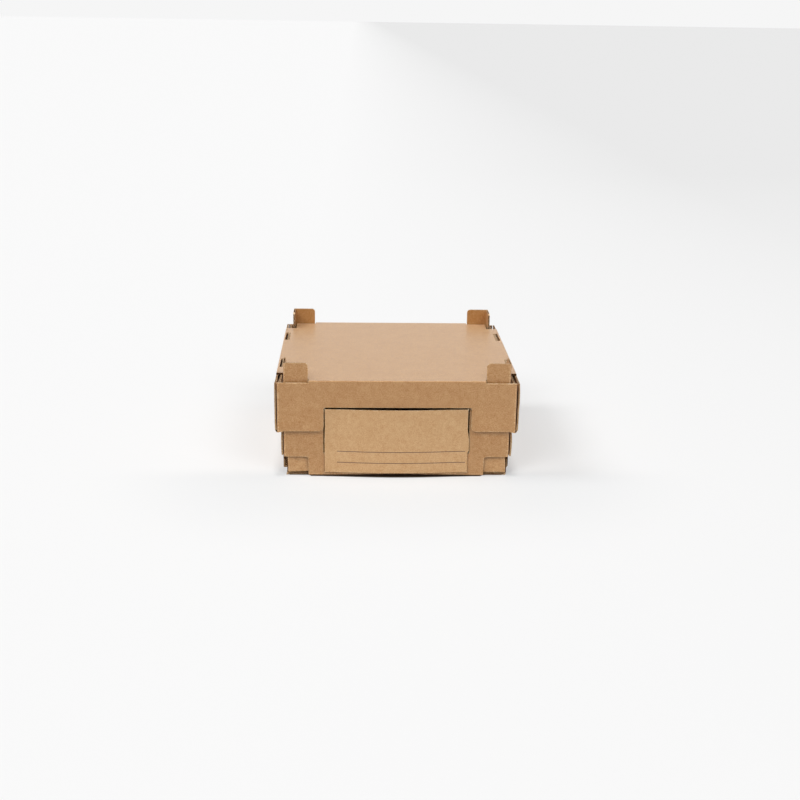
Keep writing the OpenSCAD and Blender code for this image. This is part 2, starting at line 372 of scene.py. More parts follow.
def cutStrips(piece):
    # the straight stretches of open edge: facing axis, its sign, level, across, along and spans
    mesh = bmesh.new()
    mesh.from_mesh(piece.data)
    mesh.normal_update()
    waiting = dict.fromkeys(face for face in mesh.faces if face.material_index == acrossSlot)
    strips = []
    while waiting:
        group = takeGroup(waiting, board["straightAngle"])
        normal = group[0].normal.copy()
        facing = mainAxis(normal)
        points = [vert.co for face in group for vert in face.verts]
        spans = {}
        for axis in range(3):
            if axis != facing:
                values = [point[axis] for point in points]
                spans[axis] = (min(values), max(values))
        across = min(spans, key=lambda axis: spans[axis][1] - spans[axis][0])
        along = max(spans, key=lambda axis: spans[axis][1] - spans[axis][0])
        width = spans[across][1] - spans[across][0]
        length = spans[along][1] - spans[along][0]
        if width < board["stripWidth"] * board["thickness"] and length > board["thickness"]:
            level = sum(point[facing] for point in points) / len(points)
            sign = math.copysign(1, normal[facing])
            strips.append((facing, sign, level, across, along, spans))
    mesh.free()
    return strips


def pullSpikes(piece):
    # at slivers the even inset shoots out, so such a corner goes back beside its outer neighbour
    mesh = bmesh.from_edit_mesh(piece.data)
    inner = {vert for face in mesh.faces if face.select for vert in face.verts}
    for vert in inner:
        others = [edge.other_vert(vert) for edge in vert.link_edges]
        outside = [other for other in others if other not in inner]
        if not outside:
            continue
        nearest = min(outside, key=lambda other: (other.co - vert.co).length)
        away = vert.co - nearest.co
        if away.length > board["longSpike"] * board["liner"]:
            vert.co = nearest.co + away.normalized() * board["liner"]
    bmesh.update_edit_mesh(piece.data)


def sinkCutEdges(piece, edgeSlot, depth, floorSlot):
    # the cut edge keeps a rim for each liner, and between them it is sunk
    mesh = openForFaces(piece)
    for face in mesh.faces:
        face.select_set(face.material_index == edgeSlot)
    bmesh.update_edit_mesh(piece.data)
    bpy.ops.mesh.inset(thickness=board["liner"], depth=0, use_even_offset=True)
    pullSpikes(piece)
    bpy.ops.mesh.inset(thickness=board["sunkInset"], depth=-depth, use_even_offset=False)
    mesh = bmesh.from_edit_mesh(piece.data)
    for face in mesh.faces:
        if face.select:
            face.material_index = floorSlot
    bmesh.update_edit_mesh(piece.data)
    bpy.ops.object.mode_set(mode="OBJECT")


def markRims(piece):
    # a narrow pale rim of every liner along the cut edges, for worn paper and a painted highlight
    mesh = openForFaces(piece)
    liners = [face for face in mesh.faces if face.material_index <= insideSlot]
    for face in liners:
        face.select_set(True)
    bmesh.update_edit_mesh(piece.data)
    bpy.ops.mesh.inset(thickness=board["rim"], depth=0, use_even_offset=True)
    pullSpikes(piece)
    mesh = bmesh.from_edit_mesh(piece.data)
    for face in mesh.faces:
        if face.material_index <= insideSlot and not face.select:
            face.material_index = rimSlot
    bmesh.update_edit_mesh(piece.data)
    bpy.ops.object.mode_set(mode="OBJECT")


def addMedium(strips, name):
    # one wavy ribbon of fluted paper in each open edge, all in one mesh
    ribbons = []
    swing = board["thickness"] / 2 - board["liner"] - board["medium"] / 2
    outer, inner = board["mediumInset"], board["hollowDepth"]
    for facing, sign, level, across, along, spans in strips:
        low, high = (spans[along][0] + board["liner"], spans[along][1] - board["liner"])
        steps = max(2, round((high - low) / board["pitch"] * board["stepsPerWave"]))
        middle = sum(spans[across]) / 2
        deselectAll()
        bpy.ops.mesh.primitive_grid_add(x_subdivisions=steps, y_subdivisions=1, size=2)
        ribbon = bpy.context.object
        for vert in ribbon.data.vertices:
            place = low + (high - low) * (vert.co.x + 1) / 2
            depth = outer + (inner - outer) * (vert.co.y + 1) / 2
            point = Vector((0, 0, 0))
            point[along] = place
            point[across] = middle + swing * math.sin(math.tau * place / board["pitch"])
            point[facing] = level - sign * depth
            vert.co = point
        ribbons.append(ribbon)
    if not ribbons:
        return None
    deselectAll()
    for ribbon in ribbons:
        ribbon.select_set(True)
    bpy.context.view_layer.objects.active = ribbons[0]
    bpy.ops.object.join()
    medium = bpy.context.object
    medium.name = name
    solidify = medium.modifiers.new("paper", "SOLIDIFY")
    solidify.thickness = board["medium"]
    solidify.offset = 0
    applyModifiers(medium)
    return medium


def cutForWarp(piece, extraHeights):
    # bisects the flat panels along a grid, so that they can warp
    makeActive(piece)
    bpy.ops.object.mode_set(mode="EDIT")
    corners = [Vector(corner) for corner in piece.bound_box]
    for axis in range(3):
        low = min(corner[axis] for corner in corners)
        high = max(corner[axis] for corner in corners)
        count = int((high - low) / board["warpStep"])
        for index in range(1, count):
            place = Vector((0, 0, 0))
            place[axis] = low + (high - low) * (index + board["warpShift"]) / count
            normal = Vector((0, 0, 0))
            normal[axis] = 1
            bpy.ops.mesh.select_all(action="SELECT")
            bpy.ops.mesh.bisect(plane_co=place, plane_no=normal)
    for height in extraHeights:
        bpy.ops.mesh.select_all(action="SELECT")
        bpy.ops.mesh.bisect(plane_co=(0, 0, height * mm), plane_no=(0, 0, 1))
    bpy.ops.object.mode_set(mode="OBJECT")


def markShadedEdges(piece, node):
    # painted shade: these faces get the dark colour of the flute hollows
    for face in piece.data.polygons:
        if isShadedEdge(node, face.center / mm, face.normal):
            face.material_index = hollowSlot


def finishBoard(piece, medium, warp, settings, materials):
    for material in materials:
        piece.data.materials.append(material)
    if medium:
        for material in materials:
            medium.data.materials.append(material)
        for face in medium.data.polygons:
            face.material_index = mediumSlot
        makeActive(piece)
        medium.select_set(True)
        bpy.ops.object.join()
    for vert in piece.data.vertices:
        vert.co += warp(vert.co)
    makeActive(piece)
    bpy.ops.object.shade_smooth_by_angle(angle=board["smoothAngle"])
    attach(piece, settings["body"])
    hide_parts(settings["node"])


def makeBoard(settings, warp, materials):
    node, name = settings["node"], settings["name"]
    piece = copyNode(node, name)
    markBoard(piece, node)
    strips = cutStrips(piece)
    # the sunk open edges get the dark hollow colour at their bottom, as painted shade
    sinkCutEdges(piece, acrossSlot, board["hollowDepth"], hollowSlot)
    sinkCutEdges(piece, grooveSlot, board["hollowDepth"], hollowSlot)
    sinkCutEdges(piece, uprightSlot, board["pressedDepth"], uprightSlot)
    sinkCutEdges(piece, levelSlot, board["pressedDepth"], levelSlot)
    markRims(piece)
    medium = addMedium(strips, name + "Medium")
    cutForWarp(piece, settings["sharpHeights"])
    if node != "label_board":
        markShadedEdges(piece, node)
    finishBoard(piece, medium, warp, settings, materials)
    print(name, "made:", len(piece.data.polygons), "faces,", len(strips), "open edges")


# colours and surface of the kraft paper
kraft = {
    "liner": (0.462, 0.242, 0.093, 1),
    "sheenLevelLiner": (0.467, 0.253, 0.095, 1),  # painted sheen: the lid's top is a little paler, for the light it reflects at a low angle
    "label": (0.558, 0.328, 0.147, 1),
    "paleFlap": (0.515, 0.280, 0.114, 1),  # the end flaps are a little paler than the other liners
    # painted highlight: the creases are paler, for worn paper and for the light their corners catch
    "crease": (0.51, 0.280, 0.120, 1),
    # painted highlight: the rims are paler, for worn paper and for the light the edges catch
    "rim": (0.66, 0.43, 0.225, 1),
    "rawEdge": (0.60, 0.42, 0.25, 1),
    "pressedEdge": (0.43, 0.275, 0.145, 1),
    # painted shade: the dark inside deep flutes, and on faces in deep shade
    "hollow": (0.11, 0.052, 0.022, 1),
    "ink": (0.115, 0.062, 0.036, 1),
    "roughness": 0.36,
    "ior": 1.5,
    "sheen": 0.36,
    "sheenRoughness": 0.5,
    "toneSpread": (1.0, 1.7, 2.8),  # dark places are more saturated
    # size, detail and strength of each noise
    "fibre": (1.8 * mm, 3, 0.78),
    "blotch": (7 * mm, 2, 0.26),
    "cloud": (28 * mm, 3, 0.16),
    "noiseRoughness": 0.62,
    "speckSpacing": 9 * mm,
    "speckEdge": (0.09, 0.05),  # from outside a speck to inside, in spacings
    "speckTone": -0.05,
    "linerRelief": 0.06 * mm,
    "edgeRelief": 0.1 * mm,
    "pressedRelief": 0.15 * mm,
    "insideGloss": 0.15,
    "edgeGloss": 0.1,
    "grain": {"X": 1.0, "Y": 1.5, "Z": 1.0},  # the lid's top and the sides look coarser
    "labelGrain": 0.75,
    "rippleDepth": {"X": 0.2, "Y": 1.0, "Z": 0.08},  # by the way in which the flutes repeat
}


def newNode(tree, kind, place, **values):
    node = tree.nodes.new(kind)
    node.location = place
    for key, value in values.items():
        setattr(node, key, value)
    return node


def plug(tree, value, socket):
    # a fixed value goes on the socket itself, and an output is linked to it
    if isinstance(value, (int, float, tuple)):
        socket.default_value = value
    else:
        tree.links.new(value, socket)


def mathNode(tree, operation, place, first, second=None):
    node = newNode(tree, "ShaderNodeMath", place, operation=operation)
    plug(tree, first, node.inputs[0])
    if second is not None:
        plug(tree, second, node.inputs[1])
    return node.outputs[0]


def vectorNode(tree, operation, place, first, second):
    node = newNode(tree, "ShaderNodeVectorMath", place, operation=operation)
    plug(tree, first, node.inputs[0])
    plug(tree, second, node.inputs["Scale"] if operation == "SCALE" else node.inputs[1])
    return node.outputs["Value"] if operation == "DOT_PRODUCT" else node.outputs[0]


def rangeNode(tree, place, value, source, target=(0, 1), kind="LINEAR"):
    node = newNode(tree, "ShaderNodeMapRange", place, interpolation_type=kind)
    node.inputs["From Min"].default_value, node.inputs["From Max"].default_value = source
    node.inputs["To Min"].default_value, node.inputs["To Max"].default_value = target
    tree.links.new(value, node.inputs["Value"])
    return node.outputs[0]


def mixNode(tree, place, factor, first, second, blend="MIX"):
    node = newNode(tree, "ShaderNodeMix", place, data_type="RGBA", blend_type=blend)
    plug(tree, factor, node.inputs["Factor"])
    plug(tree, first, node.inputs["A"])
    plug(tree, second, node.inputs["B"])
    return node.outputs["Result"]


def noiseTone(tree, vector, noiseSettings, row):
    # a noise centred on zero
    size, detail, gain = noiseSettings
    noise = newNode(tree, "ShaderNodeTexNoise", (-700, row))
    noise.inputs["Scale"].default_value = 1 / size
    noise.inputs["Detail"].default_value = detail
    noise.inputs["Roughness"].default_value = kraft["noiseRoughness"]
    tree.links.new(vector, noise.inputs["Vector"])
    centred = mathNode(tree, "SUBTRACT", (-500, row), noise.outputs["Fac"], 0.5)
    return mathNode(tree, "MULTIPLY", (-300, row), centred, gain)


def paperGroup():
    # fibres, blotches, clouds and dark specks of kraft paper, and a height for the bump
    tree = bpy.data.node_groups.new("kraftPaper", "ShaderNodeTree")
    face = tree.interface
    face.new_socket("Colour", in_out="INPUT", socket_type="NodeSocketColor")
    strength = face.new_socket("Grain", in_out="INPUT", socket_type="NodeSocketFloat")
    strength.default_value = 1
    face.new_socket("Colour", in_out="OUTPUT", socket_type="NodeSocketColor")
    face.new_socket("Roughness", in_out="OUTPUT", socket_type="NodeSocketFloat")
    face.new_socket("Height", in_out="OUTPUT", socket_type="NodeSocketFloat")
    inputs = newNode(tree, "NodeGroupInput", (-1200, 0))
    outputs = newNode(tree, "NodeGroupOutput", (900, 0))
    place = newNode(tree, "ShaderNodeTexCoord", (-1200, 300)).outputs["Object"]

    fibre = noiseTone(tree, place, kraft["fibre"], 400)
    blotch = noiseTone(tree, place, kraft["blotch"], 200)
    cloud = noiseTone(tree, place, kraft["cloud"], 0)
    specks = newNode(tree, "ShaderNodeTexVoronoi", (-700, -300))
    specks.inputs["Scale"].default_value = 1 / kraft["speckSpacing"]
    tree.links.new(place, specks.inputs["Vector"])
    speck = rangeNode(tree, (-480, -300), specks.outputs["Distance"], kraft["speckEdge"])
    speck = mathNode(tree, "MULTIPLY", (-260, -300), speck, kraft["speckTone"])

    total = mathNode(tree, "ADD", (-100, 300), fibre, blotch)
    total = mathNode(tree, "ADD", (0, 200), total, cloud)
    total = mathNode(tree, "ADD", (100, 100), total, speck)
    total = mathNode(tree, "MULTIPLY", (200, 100), total, inputs.outputs["Grain"])
    spread = vectorNode(tree, "SCALE", (300, 200), kraft["toneSpread"], total)
    gain = vectorNode(tree, "ADD", (400, 200), spread, (1, 1, 1))
    toned = vectorNode(tree, "MULTIPLY", (550, 200), inputs.outputs["Colour"], gain)
    tree.links.new(toned, outputs.inputs["Colour"])

    rough = mathNode(tree, "ADD", (450, -60), blotch, kraft["roughness"])
    tree.links.new(rough, outputs.inputs["Roughness"])
    tree.links.new(fibre, outputs.inputs["Height"])
    return tree


def rippleGroup():
    # the flutes show through the liner as a faint washboard along one direction
    tree = bpy.data.node_groups.new("fluteRipple", "ShaderNodeTree")
    face = tree.interface
    face.new_socket("Direction", in_out="INPUT", socket_type="NodeSocketVector")
    face.new_socket("Height", in_out="INPUT", socket_type="NodeSocketFloat")
    face.new_socket("Depth", in_out="INPUT", socket_type="NodeSocketFloat")
    face.new_socket("Height", in_out="OUTPUT", socket_type="NodeSocketFloat")
    inputs = newNode(tree, "NodeGroupInput", (-800, 0))
    outputs = newNode(tree, "NodeGroupOutput", (400, 0))
    place = newNode(tree, "ShaderNodeTexCoord", (-800, 200)).outputs["Object"]
    along = vectorNode(tree, "DOT_PRODUCT", (-600, 100), place, inputs.outputs["Direction"])
    turns = mathNode(tree, "MULTIPLY", (-400, 100), along, math.tau / board["pitch"])
    wave = mathNode(tree, "SINE", (-200, 100), turns)
    wave = mathNode(tree, "MULTIPLY", (0, 100), wave, inputs.outputs["Depth"])
    total = mathNode(tree, "ADD", (200, 100), wave, inputs.outputs["Height"])
    tree.links.new(total, outputs.inputs["Height"])
    return tree


paper = paperGroup()
ripple = rippleGroup()

# the two writing lines on the label board
writingLines = {
    "heights": (45.3 * mm, 25.9 * mm),
    "width": 1.15 * mm,
    "from": -99.2 * mm,
    "to": 115 * mm,
}


def printedLines(tree, shade):
    coords = newNode(tree, "ShaderNodeTexCoord", (-1500, -500))
    split = newNode(tree, "ShaderNodeSeparateXYZ", (-1300, -500))
    tree.links.new(coords.outputs["Object"], split.inputs[0])
    across, height = split.outputs["X"], split.outputs["Z"]
    onLine = []
    for lineHeight in writingLines["heights"]:
        away = mathNode(tree, "SUBTRACT", (-1100, -500), height, lineHeight)
        away = mathNode(tree, "ABSOLUTE", (-1000, -500), away)
        near = mathNode(tree, "LESS_THAN", (-900, -500), away, writingLines["width"] / 2)
        onLine.append(near)
    mask = mathNode(tree, "ADD", (-800, -500), *onLine)
    begun = mathNode(tree, "GREATER_THAN", (-1000, -700), across, writingLines["from"])
    unfinished = mathNode(tree, "LESS_THAN", (-1000, -800), across, writingLines["to"])
    mask = mathNode(tree, "MULTIPLY", (-700, -600), mask, begun)
    mask = mathNode(tree, "MULTIPLY", (-600, -600), mask, unfinished)
    return mixNode(tree, (-350, 100), mask, shade, kraft["ink"])


def boardMaterial(name, colour, grain=1.0, relief=kraft["linerRelief"], gloss=1,
                  repeat=None, depth=0, printed=False):
    material = bpy.data.materials.new(name)
    material.use_nodes = True
    tree = material.node_tree
    shader = tree.nodes["Principled BSDF"]
    shader.inputs["IOR"].default_value = kraft["ior"]
    shader.inputs["Specular IOR Level"].default_value = gloss / 2
    shader.inputs["Sheen Weight"].default_value = kraft["sheen"] * gloss
    shader.inputs["Sheen Roughness"].default_value = kraft["sheenRoughness"]
    group = newNode(tree, "ShaderNodeGroup", (-900, 100), node_tree=paper)
    group.inputs["Colour"].default_value = colour
    group.inputs["Grain"].default_value = grain
    shade = group.outputs["Colour"]
    height = group.outputs["Height"]
    if printed:
        shade = printedLines(tree, shade)
    if repeat:
        waves = newNode(tree, "ShaderNodeGroup", (-600, -300), node_tree=ripple)
        waves.inputs["Direction"].default_value = repeat
        waves.inputs["Depth"].default_value = depth
        tree.links.new(height, waves.inputs["Height"])
        height = waves.outputs["Height"]
    tree.links.new(shade, shader.inputs["Base Color"])
    tree.links.new(group.outputs["Roughness"], shader.inputs["Roughness"])
    bumpNode = newNode(tree, "ShaderNodeBump", (-300, -300))
    bumpNode.inputs["Strength"].default_value = 1
    bumpNode.inputs["Distance"].default_value = relief
    tree.links.new(height, bumpNode.inputs["Height"])
    tree.links.new(bumpNode.outputs["Normal"], shader.inputs["Normal"])
    return material


def edgeMaterial(name, colour, grain, relief=kraft["edgeRelief"]):
    return boardMaterial(name, colour, grain=grain, relief=relief, gloss=kraft["edgeGloss"])


# in the order of the material slots
kraftLiners, labelLiners = [], []
for axis, way in zip("XYZ", ((1, 0, 0), (0, 1, 0), (0, 0, 1))):
    colour = kraft["sheenLevelLiner" if axis == "Y" else "liner"]
    flutes = {"repeat": way, "depth": kraft["rippleDepth"][axis]}
    kraftLiners.append(boardMaterial(
        "kraftLiner" + axis, colour, grain=kraft["grain"][axis], **flutes))
    labelLiners.append(boardMaterial(
        "labelLiner" + axis, kraft["label"], grain=kraft["labelGrain"], printed=True, **flutes))
edgePapers = [
    boardMaterial("paleFlapLiner", kraft["paleFlap"]),
    boardMaterial("insideLiner", kraft["liner"], gloss=kraft["insideGloss"]),
    boardMaterial("wornHighlightCrease", kraft["crease"], grain=1.4),
    edgeMaterial("wornHighlightRim", kraft["rim"], 1.8),
    edgeMaterial("openFluteEdge", kraft["rawEdge"], 1.5),
    edgeMaterial("grooveEdge", kraft["pressedEdge"], 1.5),
    edgeMaterial("levelCutEdge", kraft["rawEdge"], 1.8, kraft["pressedRelief"]),
    edgeMaterial("uprightCutEdge", kraft["pressedEdge"], 1.8, kraft["pressedRelief"]),
    edgeMaterial("flutedMedium", kraft["rawEdge"], 1.2, kraft["linerRelief"]),
    boardMaterial("fluteHollowShade", kraft["hollow"], gloss=0),
]
print("materials made")


# The warps are how the real board departs from the flat panels of the solids.
# Their lengths are in millimetres, and a pair is where a warp begins and where it is whole or
# has faded out.


def squareFold(point, axes, middle):
    # pushes a crease's outer side towards the corner that it rounds
    out, signs = fromFold(point, axes, middle)
    radius = math.hypot(*out)
    inner, outer = folds["innerRadius"], folds["outerRadius"]
    slack = folds["bowedSlack"] if axes == (1, 2) else folds["slack"]
    if min(out) <= folds["least"] or not inner - slack < radius < outer + slack:
        return Vector((0, 0, 0))
    power = folds["squareness"]
    reach = sum((part / radius) ** power for part in out) ** (-1 / power) - 1
    share = (radius - inner) / (outer - inner)
    move = Vector((0, 0, 0))
    for axis, part, sign in zip(axes, out, signs):
        move[axis] = sign * part * reach * min(max(share, 0), 1)
    return move


def squareFolds(point, node):
    for axes, middle in folds[node]:
        move = squareFold(point, axes, middle)
        if move.length > 0:
            return move
    return Vector((0, 0, 0))


def pinchEnd(point, pinch):
    # the cut ends of an outer side layer are crushed thinner from within
    wide, thickness = abs(point.x), board["thickness"] / mm
    if point.y > 0 or wide < pinch["face"] - thickness - pinch["slack"]:
        return Vector((0, 0, 0))
    share = min((pinch["face"] - wide) / thickness, 1) * smoothStep(*pinch["above"], point.z)
    reach = smoothStep(*pinch["reach"], abs(point.y))
    return Vector((math.copysign(pinch["depth"] * share * reach, point.x), 0, 0))


# left and right values stand at -1 and 1
trayPiece = {
    "node": "tray",
    "name": "trayBoard",
    "body": "tray",
    "slot": "kraft_board",
    "sharpHeights": (37, 43),  # further level cuts, where a warp turns sharply
    "pinch": {"face": 190.8, "depth": 0.5, "above": (8, 14), "reach": (183, 195), "slack": 0.1},
    "outerLayer": 187.5,
    "sill": 36,
    # how far the sides of the front cut-out stand inwards, by height
    "cutOut": {-1: ((36, 0.0), (44, 0.2)), 1: ((36, 0.0), (44, 0.1), (66, 0.1), (82, 1.0))},
    "cutOutFrom": 100,
    "postFade": (122, 134),
    "frontWall": 190,
    # how far the outer side layers stand out at the front, by height
    "splay": {-1: ((38, 0.2), (68, 0.9), (79, 0.0)), 1: ((38, 0.6), (68, 1.8), (79, 0.0))},
    "splayFrom": 20,
    "splayReach": (100, 190),
    "rightDrop": 1.5,  # the right outer layer's lower end at the front hangs lower
    "dropFade": (40, 60),
    "dropReach": (120, 180),
    "lift": (0.9, 4.5),  # of the front wall's lower edge, at its ends and in the middle
    "notchLift": {-1: 1.3, 1: 0.8},  # of the floor's front edge in the notches
    "liftFade": (3, 14),
    "liftReach": (120, 188),
    "liftSides": (178, 187),
    "lowBowFade": (2, 22),
    "lowBowFrom": 187,
    "lowIn": {-1: 0.1, 1: -2.2},  # the side walls' lower edges at the front; the right one is out
    "lowReach": (0, 100),
    "foldIn": {-1: 1.3, 1: 0.4},  # the inner layers' folds beside the end flaps
    "foldReach": (150, 180),
    "foldTo": 184.5,
    "leanSides": (170, 180),
    "leanStart": (0, 4),
    "leanFade": (24, 36),
    "cornerOut": {-1: 0.6, 1: 1.15},  # the front wall's ends, between the notch and the lid
    "cornerSides": (140, 185),
    "cornerReach": (120, 185),
    "cornerStart": (30, 40),
    "cornerFade": (80, 90),
    # the end flaps lean in, by height, and their lower edges slant upwards to their free ends
    "flapIn": ((4, 1.4), (20, 2.2), (36, 3.4), (60, 2.0), (80, 0.0)),
    "flapDeep": (186, 190.7),
    "flapWide": (127, 182),
    "flapTop": 80,
    "flapFold": (172, 181),
    "flapSlant": (-0.4, 1.2),
    "flapLength": 52,
    "rightFlapDrop": 0.6,
    "slantFade": (4, 30),
    "slantFrom": 3.3,
}


def warpTray(place):
    point = place / mm
    x, y, z = point
    wide, forward = abs(x), -y
    side = 1 if x > 0 else -1
    piece = trayPiece
    move = squareFolds(point, "tray") + pinchEnd(point, piece["pinch"])
    if forward > piece["frontWall"] and z > piece["sill"] and wide > piece["cutOutFrom"]:
        inwards = profile(piece["cutOut"][side], z)
        move.x -= side * inwards * fadeOut(*piece["postFade"], wide)
    if wide > piece["outerLayer"] and z > piece["splayFrom"]:
        amount = profile(piece["splay"][side], z)
        move.x += side * amount * smoothStep(*piece["splayReach"], forward)
    if x > piece["outerLayer"] and z > piece["sill"]:
        drop = piece["rightDrop"] * fadeOut(*piece["dropFade"], z)
        move.z -= drop * smoothStep(*piece["dropReach"], forward)
    if forward > piece["liftReach"][0] and z < piece["liftFade"][1]:
        lift = mix(*piece["lift"], bowShape(x))
        lift = mix(lift, piece["notchLift"][side], smoothStep(*piece["postFade"], wide))
        lift = lift * fadeOut(*piece["liftSides"], wide)
        move.z += lift * fadeOut(*piece["liftFade"], z) * smoothStep(*piece["liftReach"], forward)
    if forward > piece["lowBowFrom"] and z < piece["lowBowFade"][1] and wide < bow["reach"]:
        less = bow["depth"] - bow["lowDepth"]
        move.y += less * bowShape(x) * fadeOut(*piece["lowBowFade"], z)
    if wide > piece["leanSides"][0] and z < piece["leanFade"][1] and forward > 0:
        low = fadeOut(*piece["leanFade"], z) * smoothStep(*piece["leanStart"], z)
        edge = smoothStep(*piece["leanSides"], wide)
        reach = smoothStep(*piece["lowReach"], forward)
        move.x -= side * piece["lowIn"][side] * low * edge * reach
        if wide < piece["foldTo"]:
            reach = smoothStep(*piece["foldReach"], forward)
            move.x -= side * piece["foldIn"][side] * low * edge * reach
    if wide > piece["cornerSides"][0] and piece["cornerStart"][0] < z < piece["cornerFade"][1]:
        band = smoothStep(*piece["cornerStart"], z) * fadeOut(*piece["cornerFade"], z)
        reach = smoothStep(*piece["cornerSides"], wide) * smoothStep(*piece["cornerReach"], forward)
        move.x += side * piece["cornerOut"][side] * band * reach
    near, far = piece["flapDeep"]
    free, fold = piece["flapWide"]
    if near < forward < far and free <= wide < fold and z < piece["flapTop"]:
        low, high = piece["flapSlant"]
        start = piece["flapFold"][1]
        slant = mix(low, high, (start - wide) / piece["flapLength"])
        slant -= piece["rightFlapDrop"] if x > 0 else 0
        if z > piece["slantFrom"]:
            move.z += max(slant, 0) * fadeOut(*piece["slantFade"], z)
        move.y += profile(piece["flapIn"], z) * fadeOut(*piece["flapFold"], wide)
    return move * mm


makeBoard(trayPiece, warpTray, kraftLiners + edgePapers)

lidPiece = {
    "node": "lid",
    "name": "lidBoard",
    "body": "lid",
    "slot": "kraft_board",
    "sharpHeights": (),
    "pinch": {"face": 201.0, "depth": 0.9, "above": (86, 92), "reach": (183, 195), "slack": 0.1},
    # how far the outer side layers stand out, by height
    "outwards": {
        -1: ((80, 0.3), (98, -0.2), (116, -0.2), (136, -0.35), (156, -0.2), (164, 0.0)),
        1: ((80, 0.0), (95, 0.65), (116, 0.9), (138, 1.7), (156, 1.2), (164, 0.5)),
    },
    "outerLayer": (197.5, 197.9),
    "frontWall": 190,
    "leftOut": 0.5,  # the front wall's left end stands further out
    "leftReach": (150, 190),
    "flare": 1.2,  # the front wall's lower edge stands off the tray
    "flareFrom": 126,
    "flareFade": (79, 115),
    "windowRight": 2.4,  # the window's right side stands further out
    "windowFrom": 110,
    "windowSide": (122, 136),
    "windowFade": (121, 130),
    "rollDrop": 2.2,  # the rolled lower edges hang a little below the front wall
    "rollFrom": 190.5,
    "rollFade": (79, 92),
}


def warpLid(place):
    point = place / mm
    x, y, z = point
    wide, forward = abs(x), -y
    piece = lidPiece
    move = squareFolds(point, "lid") + pinchEnd(point, piece["pinch"])
    if forward > piece["frontWall"]:
        if x < -piece["leftReach"][0]:
            move.x -= piece["leftOut"] * smoothStep(*piece["leftReach"], -x)
        if wide > piece["flareFrom"]:
            move.y -= piece["flare"] * fadeOut(*piece["flareFade"], z)
        if x > piece["windowFrom"]:
            side = fadeOut(*piece["windowSide"], x)
            move.x += piece["windowRight"] * side * fadeOut(*piece["windowFade"], z)
    if wide > piece["rollFrom"] and z < piece["rollFade"][1]:
        move.z -= piece["rollDrop"] * fadeOut(*piece["rollFade"], z)
    outer = smoothStep(*piece["outerLayer"], wide)
    if outer > 0:
        move.x += outer * profile(piece["outwards"][-1 if x < 0 else 1], z)
    return move * mm


makeBoard(lidPiece, warpLid, kraftLiners + edgePapers)

labelPiece = {
    "node": "label_board",
    "name": "labelPanel",
    "body": "tray",
    "slot": "pale_kraft_board",
    "sharpHeights": (41.5, 46.5, 66, 82),
    "rightOut": ((42, -1.0), (46, 1.4), (66, 1.4), (82, -1.2)),  # the right edge, by height
    "leftOut": 0.6,
    "leftStart": (36, 44),
    "leftFade": (66, 82),
    "sideReach": (60, 119),
    "lift": 0.9,  # of the lower edge's middle
    "liftFade": (8, 40),
    "cornersOut": 0.7,  # the lower corners stand off the tray
    "cornerReach": (100, 119),
    "cornerFade": (30, 60),
}


def warpLabel(place):
    x, _, z = place / mm
    piece = labelPiece
    move = Vector((0, 0, 0))
    move.x += profile(piece["rightOut"], z) * smoothStep(*piece["sideReach"], x)
    left = piece["leftOut"] * smoothStep(*piece["sideReach"], -x)
    move.x -= left * smoothStep(*piece["leftStart"], z) * fadeOut(*piece["leftFade"], z)
    move.z += piece["lift"] * bowShape(x) * fadeOut(*piece["liftFade"], z)
    corner = piece["cornersOut"] * smoothStep(*piece["cornerReach"], abs(x))
    move.y -= corner * fadeOut(*piece["cornerFade"], z)
    return move * mm


makeBoard(labelPiece, warpLabel, labelLiners + edgePapers)

# floor and light
studio = {
    "floorSize": 300.0,
    "floorRoughness": 0.9,
    "floorLeft": (0.852, 0.852, 0.852, 1),
    "floorRight": (0.735, 0.735, 0.735, 1),
    "fadeAcross": (-0.2, 1.5),  # from the left tone to the right one
    "fadeBack": (-2.5, 4.0),
    # the floor's painted shadow under the box, a dark foot: its half width and half depth, and how
    # far the front wall's bow takes it forwards
    "footReach": (178 * mm, 193 * mm),
    "bowReach": 150 * mm,
    "bowDepth": 6.5 * mm,
    "bowStart": 1.6 * mm,  # at the bow's ends
    "notchEdge": (142 * mm, 146 * mm),
    "notchDepth": 6.0 * mm,
    "contactReach": (0, 2.1 * mm),  # over which the floor comes out of the dark
    "contactShade": (0.12, 1),
    "contactTone": (1.0, 0.70, 0.50, 1),  # the box's brown in the last light under its edges
    "nearTone": (0.91, 0.92, 0.925, 1),  # takes back the brown light that the front throws on it
    "nearReach": (350 * mm, 0),
    "nearFront": (-150 * mm, -210 * mm),
    "bounce": (0.92, 0.70),  # share of its tone with which the floor lights the box
    "bounceReach": (60 * mm, 240 * mm),  # from near the box to far away
    "glow": 0.45,  # share of even tone where the floor is seen
    "glowReach": (0.0, 3.8 * mm),
    "skyLight": 0.06,  # strength with which the sky lights the box
    "skySeen": 0.92,  # and with which it is seen
    "suns": (
        {"name": "frontLeftLight", "power": 1.31, "spread": 30, "from": (-0.45, -0.70, 0.74)},
        {"name": "frontRightLight", "power": 0.93, "spread": 30, "from": (0.45, -0.70, 0.74)},
        {"name": "leftLight", "power": 1.12, "spread": 22, "from": (-0.86, 0.0, 1.0)},
        {"name": "rightLight", "power": 0.28, "spread": 24, "from": (0.6, 0.0, 1.0)},
        {"name": "topLight", "power": 1.05, "spread": 8, "from": (0.0, -0.08, 1.0)},
    ),
}


def seenDirectly(tree):
    # 1 for rays from the camera, in a reflection or through glass
    path = newNode(tree, "ShaderNodeLightPath", (-900, 600)).outputs
    seen = mathNode(tree, "MAXIMUM", (-700, 600), path["Is Camera Ray"], path["Is Glossy Ray"])
    return mathNode(tree, "MAXIMUM", (-500, 600), seen, path["Is Transmission Ray"])


